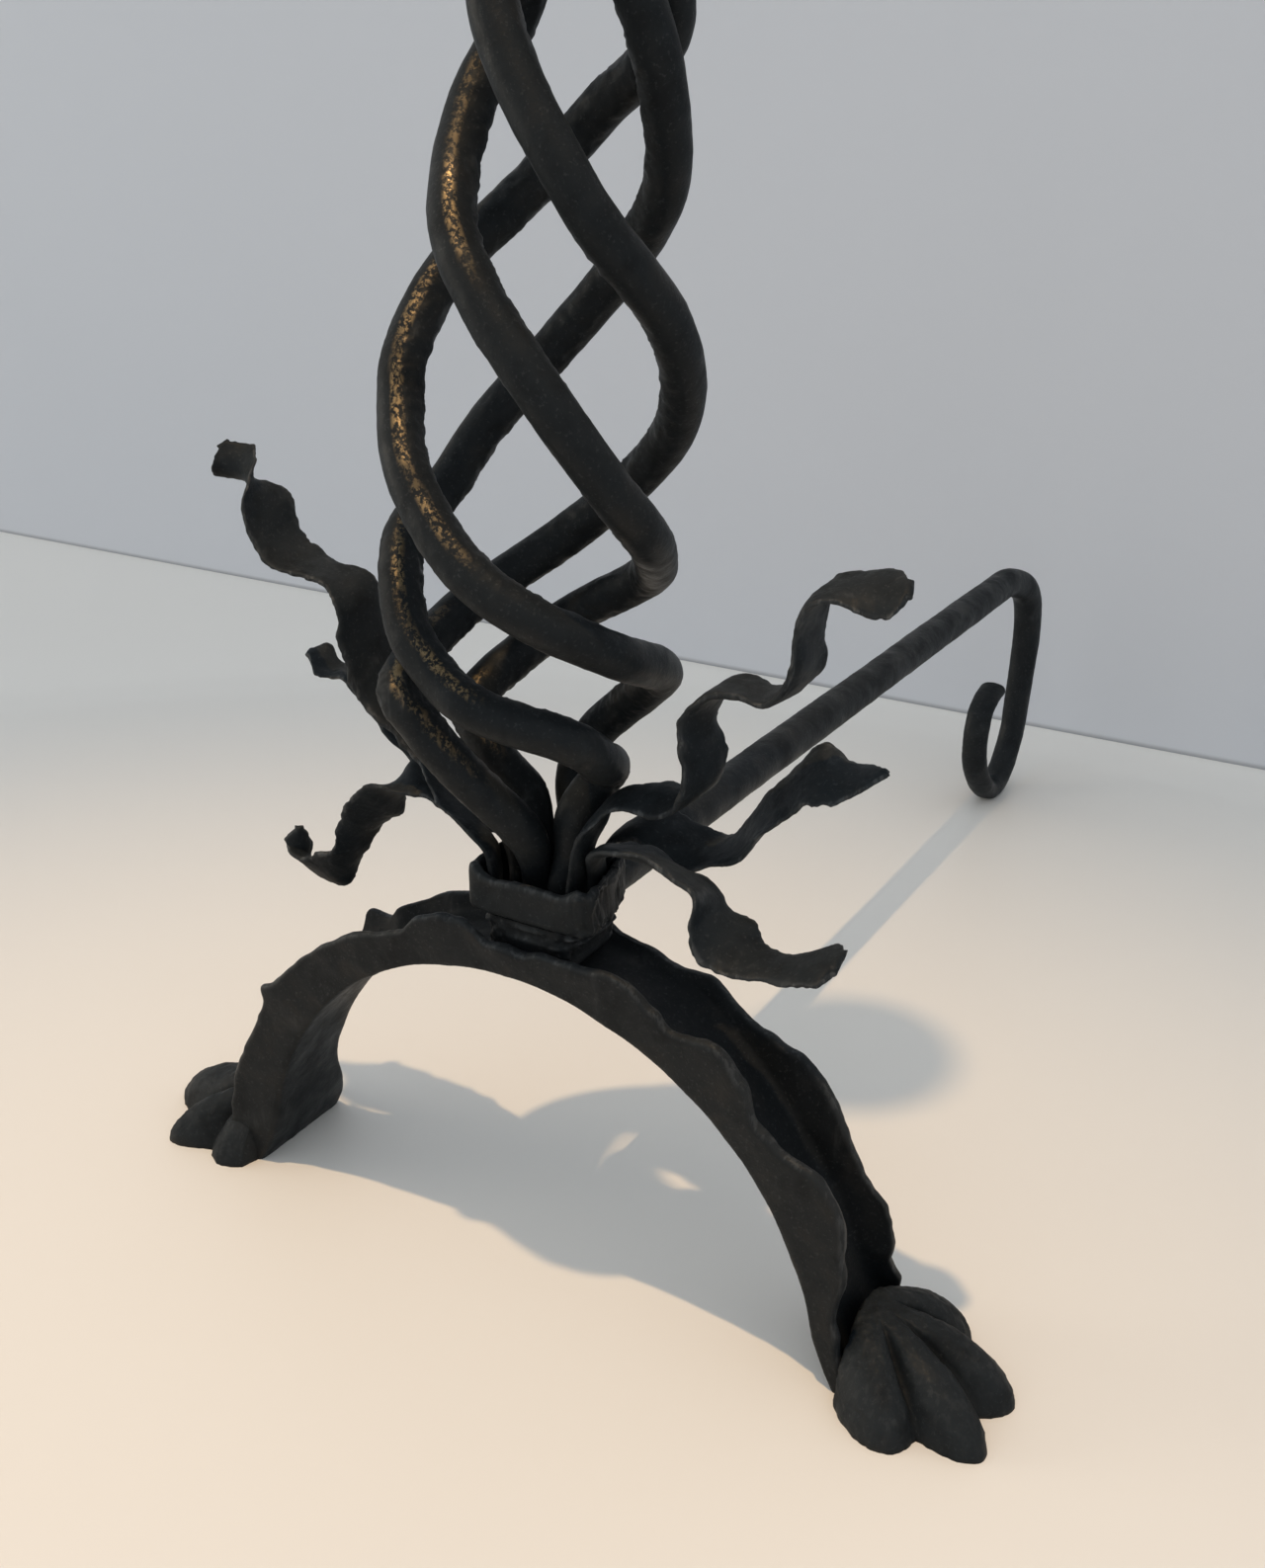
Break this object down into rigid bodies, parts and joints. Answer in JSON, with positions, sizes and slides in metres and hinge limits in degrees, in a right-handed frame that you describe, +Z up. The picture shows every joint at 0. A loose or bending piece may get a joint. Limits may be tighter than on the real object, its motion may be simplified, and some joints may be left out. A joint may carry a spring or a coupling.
{
  "type": "andiron",
  "caption": "Forged wrought-iron andiron: arched channel front on two clawed paws, twisted-bar basket column, six rippled leaves and a billet bar with a scroll foot.",
  "frame": {"origin": "on the floor, under the middle of the whole andiron's footprint", "axes": "+X to the right along the front arch, +Y backwards along the billet bar into the hearth, +Z up the column"},
  "size_m": [0.351, 0.5817, 0.78],
  "materials": {
    "blackened_iron": "hammered wrought iron, blackened and waxed to a dull sheen",
    "rubbed_iron": "hammered wrought iron, blackened, with edges rubbed lighter and a satin wax sheen"
  },
  "bodies": {
    "root": {"arch": "blackened_iron", "left_paw": "rubbed_iron", "right_paw": "rubbed_iron", "core_block": "blackened_iron", "tenon_washer": "blackened_iron", "collar": "blackened_iron", "basket_bar_1": "blackened_iron", "basket_bar_2": "blackened_iron", "basket_bar_3": "blackened_iron", "basket_bar_4": "blackened_iron", "left_upper_leaf": "rubbed_iron", "left_middle_leaf": "rubbed_iron", "left_lower_leaf": "rubbed_iron", "right_upper_leaf": "rubbed_iron", "right_middle_leaf": "rubbed_iron", "right_lower_leaf": "rubbed_iron", "billet_bar": "blackened_iron", "top_ring": "blackened_iron", "finial": "rubbed_iron"}
  },
  "joints": []
}
